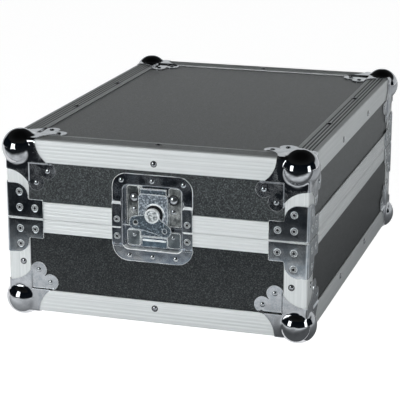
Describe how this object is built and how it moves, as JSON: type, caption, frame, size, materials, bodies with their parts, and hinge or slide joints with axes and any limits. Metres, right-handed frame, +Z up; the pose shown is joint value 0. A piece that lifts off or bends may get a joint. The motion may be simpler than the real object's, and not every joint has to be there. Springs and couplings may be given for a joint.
{
  "type": "mixer flight case",
  "caption": "Flight case for a tabletop mixer: plywood base and lift-off lid in aluminium edging, ball corners, recessed butterfly latches, folding side handle, foam lining.",
  "frame": {"origin": "on the floor under the middle of the case, at the bottom centre of its bounding box", "axes": "+Z up; the front, with the first butterfly latch, faces -Y; the case is longest along Y; the bare long side faces +X and the side with the handle faces -X"},
  "size_m": [0.4196, 0.5696, 0.2512],
  "materials": {
    "laminate": "dark grey textured laminate on plywood",
    "aluminium": "natural anodised, reeded, satin",
    "ball_corner_chrome": "polished plated steel",
    "brace_zinc": "bright zinc plated steel",
    "latch_zinc": "bright bluish zinc plated steel",
    "handle_steel": "bright zinc plated steel",
    "grip_rubber": "matt moulded rubber",
    "lining_foam": "matt open-cell foam"
  },
  "bodies": {
    "base": {"base_ball_corner_front_left": "ball_corner_chrome", "base_ball_corner_front_right": "ball_corner_chrome", "base_ball_corner_rear_left": "ball_corner_chrome", "base_ball_corner_rear_right": "ball_corner_chrome", "base_brace_front_left": "brace_zinc", "base_brace_front_right": "brace_zinc", "base_brace_rear_left": "brace_zinc", "base_brace_rear_right": "brace_zinc", "base_edge_front": "aluminium", "base_edge_left": "aluminium", "base_edge_rear": "aluminium", "base_edge_right": "aluminium", "base_floor_panel": "laminate", "base_foam_tray": "lining_foam", "base_front_panel": "laminate", "base_left_panel": "laminate", "base_post_front_left": "aluminium", "base_post_front_right": "aluminium", "base_post_rear_left": "aluminium", "base_post_rear_right": "aluminium", "base_rear_panel": "laminate", "base_right_panel": "laminate", "base_rim": "aluminium", "front_latch_lower_dish": "latch_zinc", "handle_dish": "handle_steel", "rear_latch_lower_dish": "latch_zinc"},
    "lid": {"front_latch_mechanism": "latch_zinc", "front_latch_upper_dish": "latch_zinc", "lid_ball_corner_front_left": "ball_corner_chrome", "lid_ball_corner_front_right": "ball_corner_chrome", "lid_ball_corner_rear_left": "ball_corner_chrome", "lid_ball_corner_rear_right": "ball_corner_chrome", "lid_brace_front_left": "brace_zinc", "lid_brace_front_right": "brace_zinc", "lid_brace_rear_left": "brace_zinc", "lid_brace_rear_right": "brace_zinc", "lid_edge_front": "aluminium", "lid_edge_left": "aluminium", "lid_edge_rear": "aluminium", "lid_edge_right": "aluminium", "lid_foam_pad": "lining_foam", "lid_front_panel": "laminate", "lid_left_panel": "laminate", "lid_post_front_left": "aluminium", "lid_post_front_right": "aluminium", "lid_post_rear_left": "aluminium", "lid_post_rear_right": "aluminium", "lid_rear_panel": "laminate", "lid_right_panel": "laminate", "lid_rim_left": "aluminium", "lid_rim_right": "aluminium", "lid_top_panel": "laminate", "rear_latch_mechanism": "latch_zinc", "rear_latch_upper_dish": "latch_zinc"},
    "front_wing": {"front_latch_wing": "latch_zinc"},
    "front_hook": {"front_latch_hook": "latch_zinc"},
    "rear_wing": {"rear_latch_wing": "latch_zinc"},
    "rear_hook": {"rear_latch_hook": "latch_zinc"},
    "handle": {"handle_bail": "handle_steel", "handle_grip": "grip_rubber"}
  },
  "joints": [
    {"name": "lid_lift", "type": "slide", "parent": "base", "child": "lid", "axis": [0, 0, 1], "range_m": [0, 0.3]},
    {"name": "front_wing_turn", "type": "hinge", "parent": "lid", "child": "front_wing", "pos_m": [-0.002, -0.275, 0.1536], "axis": [0, -1, 0], "range_deg": [0, 180]},
    {"name": "front_hook_slide", "type": "slide", "parent": "lid", "child": "front_hook", "axis": [0, 0, -1], "range_m": [0, 0.0081]},
    {"name": "rear_wing_turn", "type": "hinge", "parent": "lid", "child": "rear_wing", "pos_m": [0.002, 0.275, 0.1536], "axis": [0, 1, 0], "range_deg": [0, 180]},
    {"name": "rear_hook_slide", "type": "slide", "parent": "lid", "child": "rear_hook", "axis": [0, 0, -1], "range_m": [0, 0.0081]},
    {"name": "handle_swing", "type": "hinge", "parent": "base", "child": "handle", "pos_m": [-0.1974, 0, 0.0968], "axis": [0, 1, 0], "range_deg": [0, 90]}
  ],
  "couplings": [
    {"joint": "front_hook_slide", "follows": "front_wing_turn", "m_per_rad": 0.0025465},
    {"joint": "rear_hook_slide", "follows": "rear_wing_turn", "m_per_rad": 0.0025465}
  ]
}
